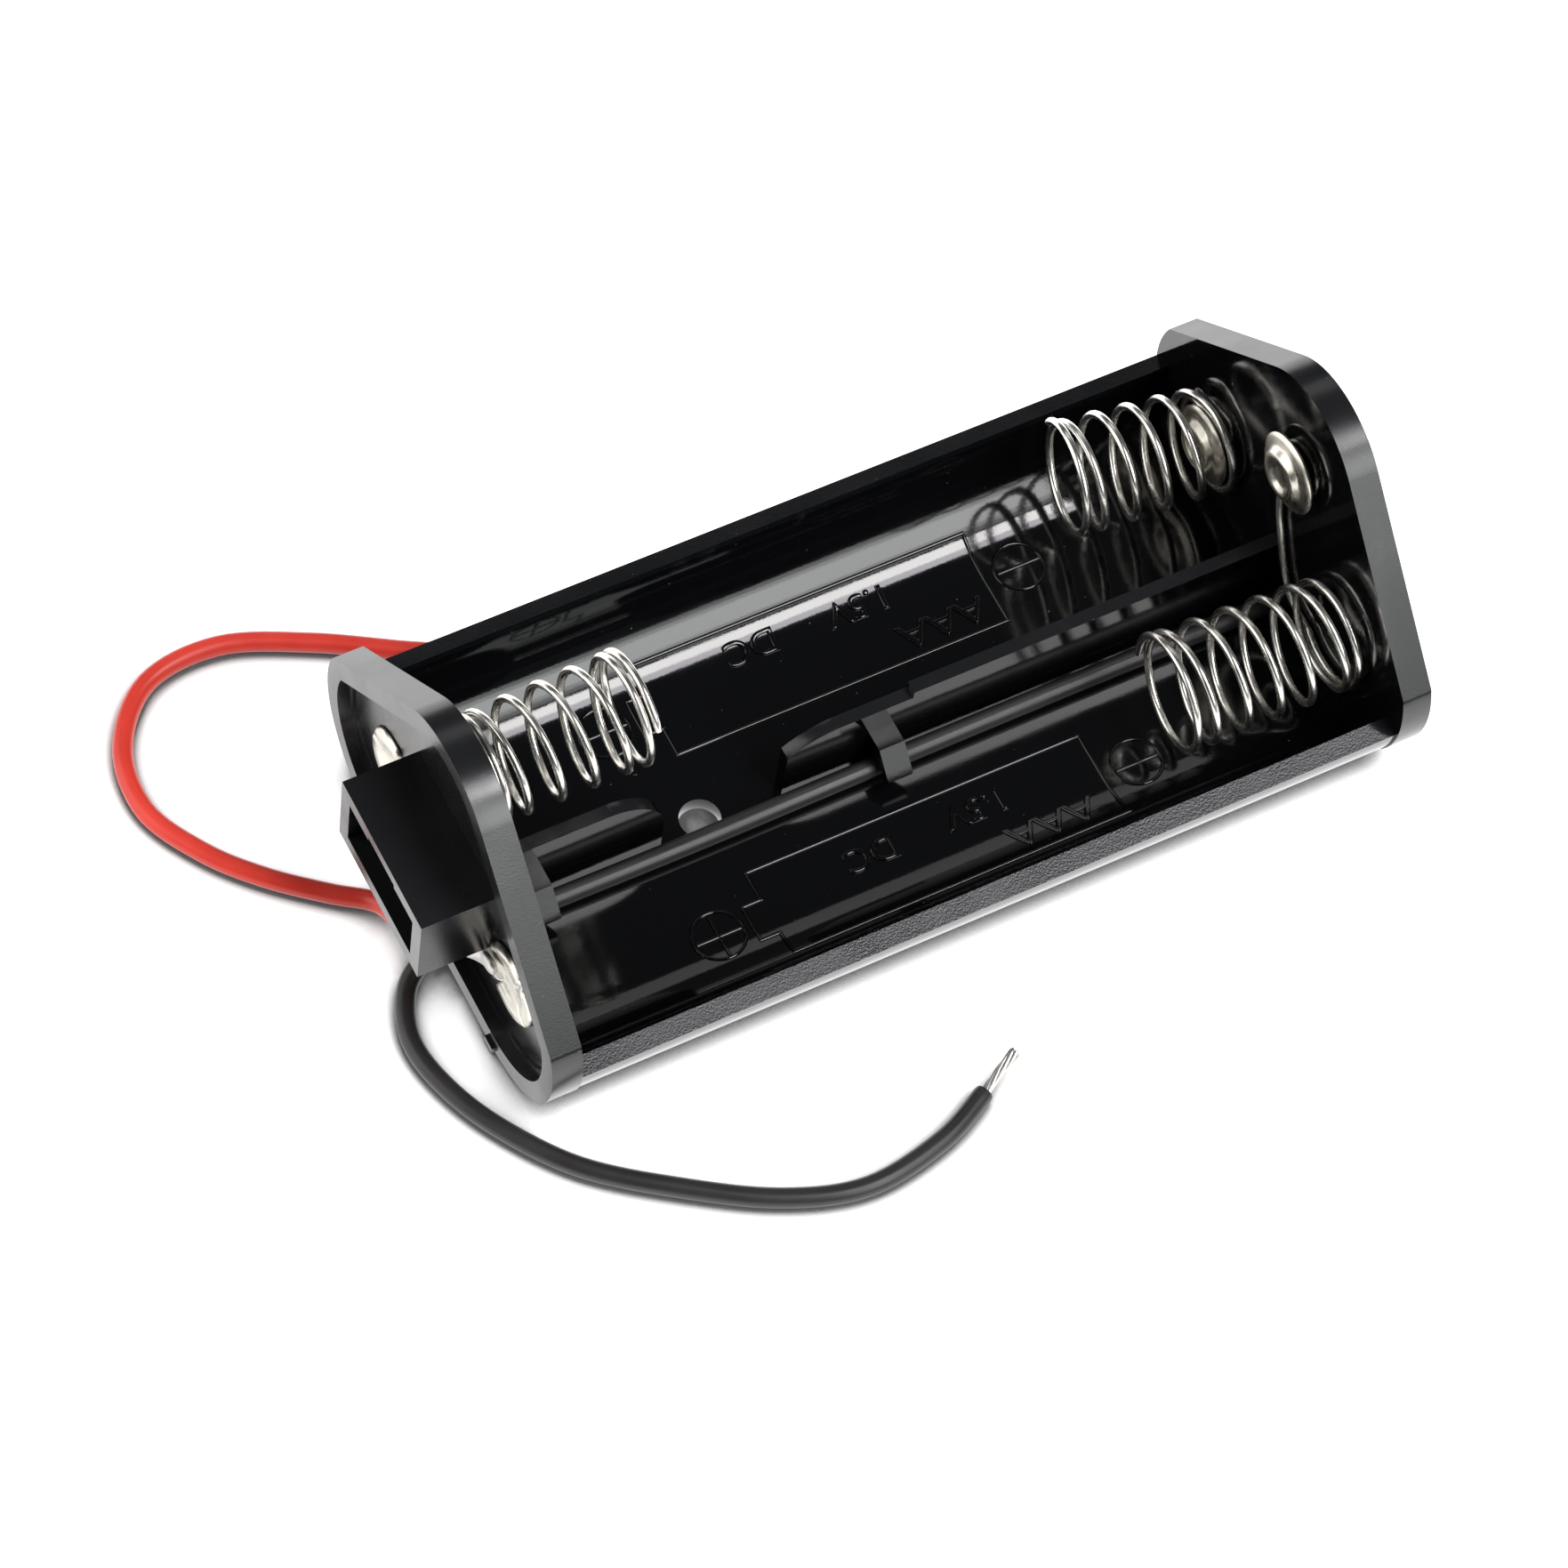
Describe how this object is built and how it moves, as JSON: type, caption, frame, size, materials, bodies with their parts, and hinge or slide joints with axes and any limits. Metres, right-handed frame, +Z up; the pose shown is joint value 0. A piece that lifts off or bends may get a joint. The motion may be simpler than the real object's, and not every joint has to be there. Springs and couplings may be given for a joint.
{
  "type": "battery holder",
  "caption": "Moulded holder for small cylindrical cells, two side by side and one nested above, with coil springs, riveted contacts and two flying leads.",
  "frame": {"origin": "middle of the base, on the face the holder stands on, measured without the leads", "axes": "+X along the cells, from the end with the hood and the leads to the plain end; +Y from the lead clips' side to the other side; +Z up out of the open bays"},
  "size_m": [0.0633, 0.0441, 0.0195],
  "materials": {
    "black_moulding": "glossy, as moulded",
    "spring_wire": "bright nickel plate",
    "rivet_metal": "nickel plate, slightly dull",
    "solder": "tinned, satin",
    "black_insulation": "soft satin PVC",
    "red_insulation": "soft satin PVC"
  },
  "bodies": {
    "root": {"holder_body": "black_moulding", "spring_a": "spring_wire", "spring_b_link": "spring_wire", "spring_c_link": "spring_wire", "rivet_a_negative": "rivet_metal", "rivet_c_positive": "rivet_metal", "rivet_a_positive": "rivet_metal", "rivet_b_positive": "rivet_metal", "solder_red": "solder", "solder_black": "solder", "black_lead": "black_insulation", "black_lead_strands": "solder", "red_lead": "red_insulation", "red_lead_strands": "solder"}
  },
  "joints": []
}
